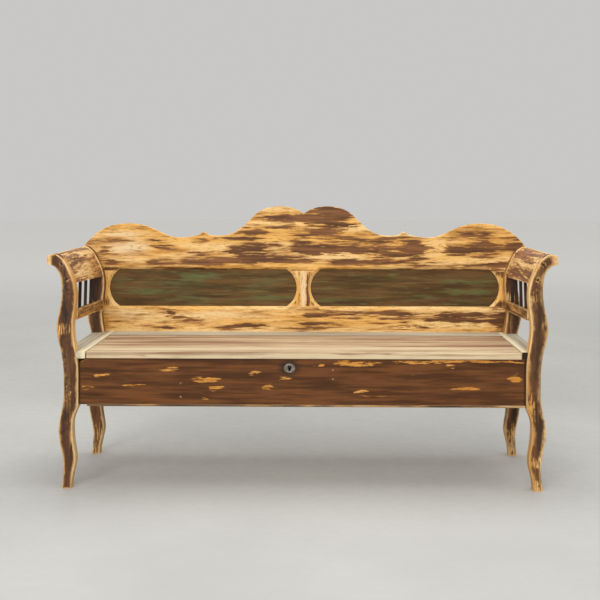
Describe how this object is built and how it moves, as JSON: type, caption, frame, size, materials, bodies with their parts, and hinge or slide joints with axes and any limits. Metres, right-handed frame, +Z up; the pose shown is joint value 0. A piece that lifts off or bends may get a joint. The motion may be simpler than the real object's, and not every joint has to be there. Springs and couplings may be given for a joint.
{
  "type": "storage bench",
  "caption": "Painted pine settle with scrolled arms, a panelled back with a shaped crest, and a storage box under a hinged, lockable seat lid.",
  "frame": {"origin": "on the floor, under the middle of the overall box", "axes": "+X along the bench to the right of someone who faces its front, +Y from the front to the back, +Z up"},
  "size_m": [1.882, 0.554, 1.0345],
  "materials": {
    "painted_pine": "worn brown paint over bare pine",
    "bare_pine": "dry, scrubbed and grained",
    "iron": "dark, lightly rusted"
  },
  "bodies": {
    "frame": {"arm_pegs": "painted_pine", "back_bottom_rail": "painted_pine", "back_centre_stile": "painted_pine", "back_left_panel": "painted_pine", "back_left_post": "painted_pine", "back_left_stile": "painted_pine", "back_right_panel": "painted_pine", "back_right_post": "painted_pine", "back_right_stile": "painted_pine", "bottom_back_plank": "bare_pine", "bottom_front_plank": "painted_pine", "box_back_board": "bare_pine", "box_front_board": "painted_pine", "box_left_batten": "bare_pine", "box_left_board": "bare_pine", "box_right_batten": "bare_pine", "box_right_board": "bare_pine", "crest_board": "painted_pine", "escutcheon": "iron", "frame_nails": "iron", "frame_screws": "iron", "front_left_post": "painted_pine", "front_nails": "iron", "front_right_post": "painted_pine", "left_arm_board": "painted_pine", "left_arm_edge_strip": "painted_pine", "left_hinge_fixed_leaf": "iron", "left_hinge_pin": "iron", "left_side_rail": "painted_pine", "left_slat_1": "painted_pine", "left_slat_2": "painted_pine", "left_slat_3": "painted_pine", "left_slat_4": "painted_pine", "lock_case": "iron", "lock_drill_pin": "iron", "lock_plate": "iron", "right_arm_board": "painted_pine", "right_arm_edge_strip": "painted_pine", "right_hinge_fixed_leaf": "iron", "right_hinge_pin": "iron", "right_side_rail": "painted_pine", "right_slat_1": "painted_pine", "right_slat_2": "painted_pine", "right_slat_3": "painted_pine", "right_slat_4": "painted_pine", "seat_back_strip": "bare_pine", "seat_left_end_board": "bare_pine", "seat_right_end_board": "bare_pine"},
    "lid": {"lid_front_plank": "bare_pine", "lid_back_plank": "bare_pine", "lid_left_cleat": "bare_pine", "lid_centre_cleat": "bare_pine", "lid_right_cleat": "bare_pine", "lid_cleat_nails": "iron", "left_hinge_lid_leaf": "iron", "right_hinge_lid_leaf": "iron", "lid_screws": "iron", "lock_link_plate": "iron"},
    "lock_bolt": {"lock_bolt": "iron"}
  },
  "joints": [
    {"name": "lid_hinge", "type": "hinge", "parent": "frame", "child": "lid", "pos_m": [0, 0.136, 0.5075], "axis": [-1, 0, 0], "range_deg": [0, 105]},
    {"name": "lock_slide", "type": "slide", "parent": "frame", "child": "lock_bolt", "axis": [1, 0, 0], "range_m": [0, 0.012]}
  ]
}
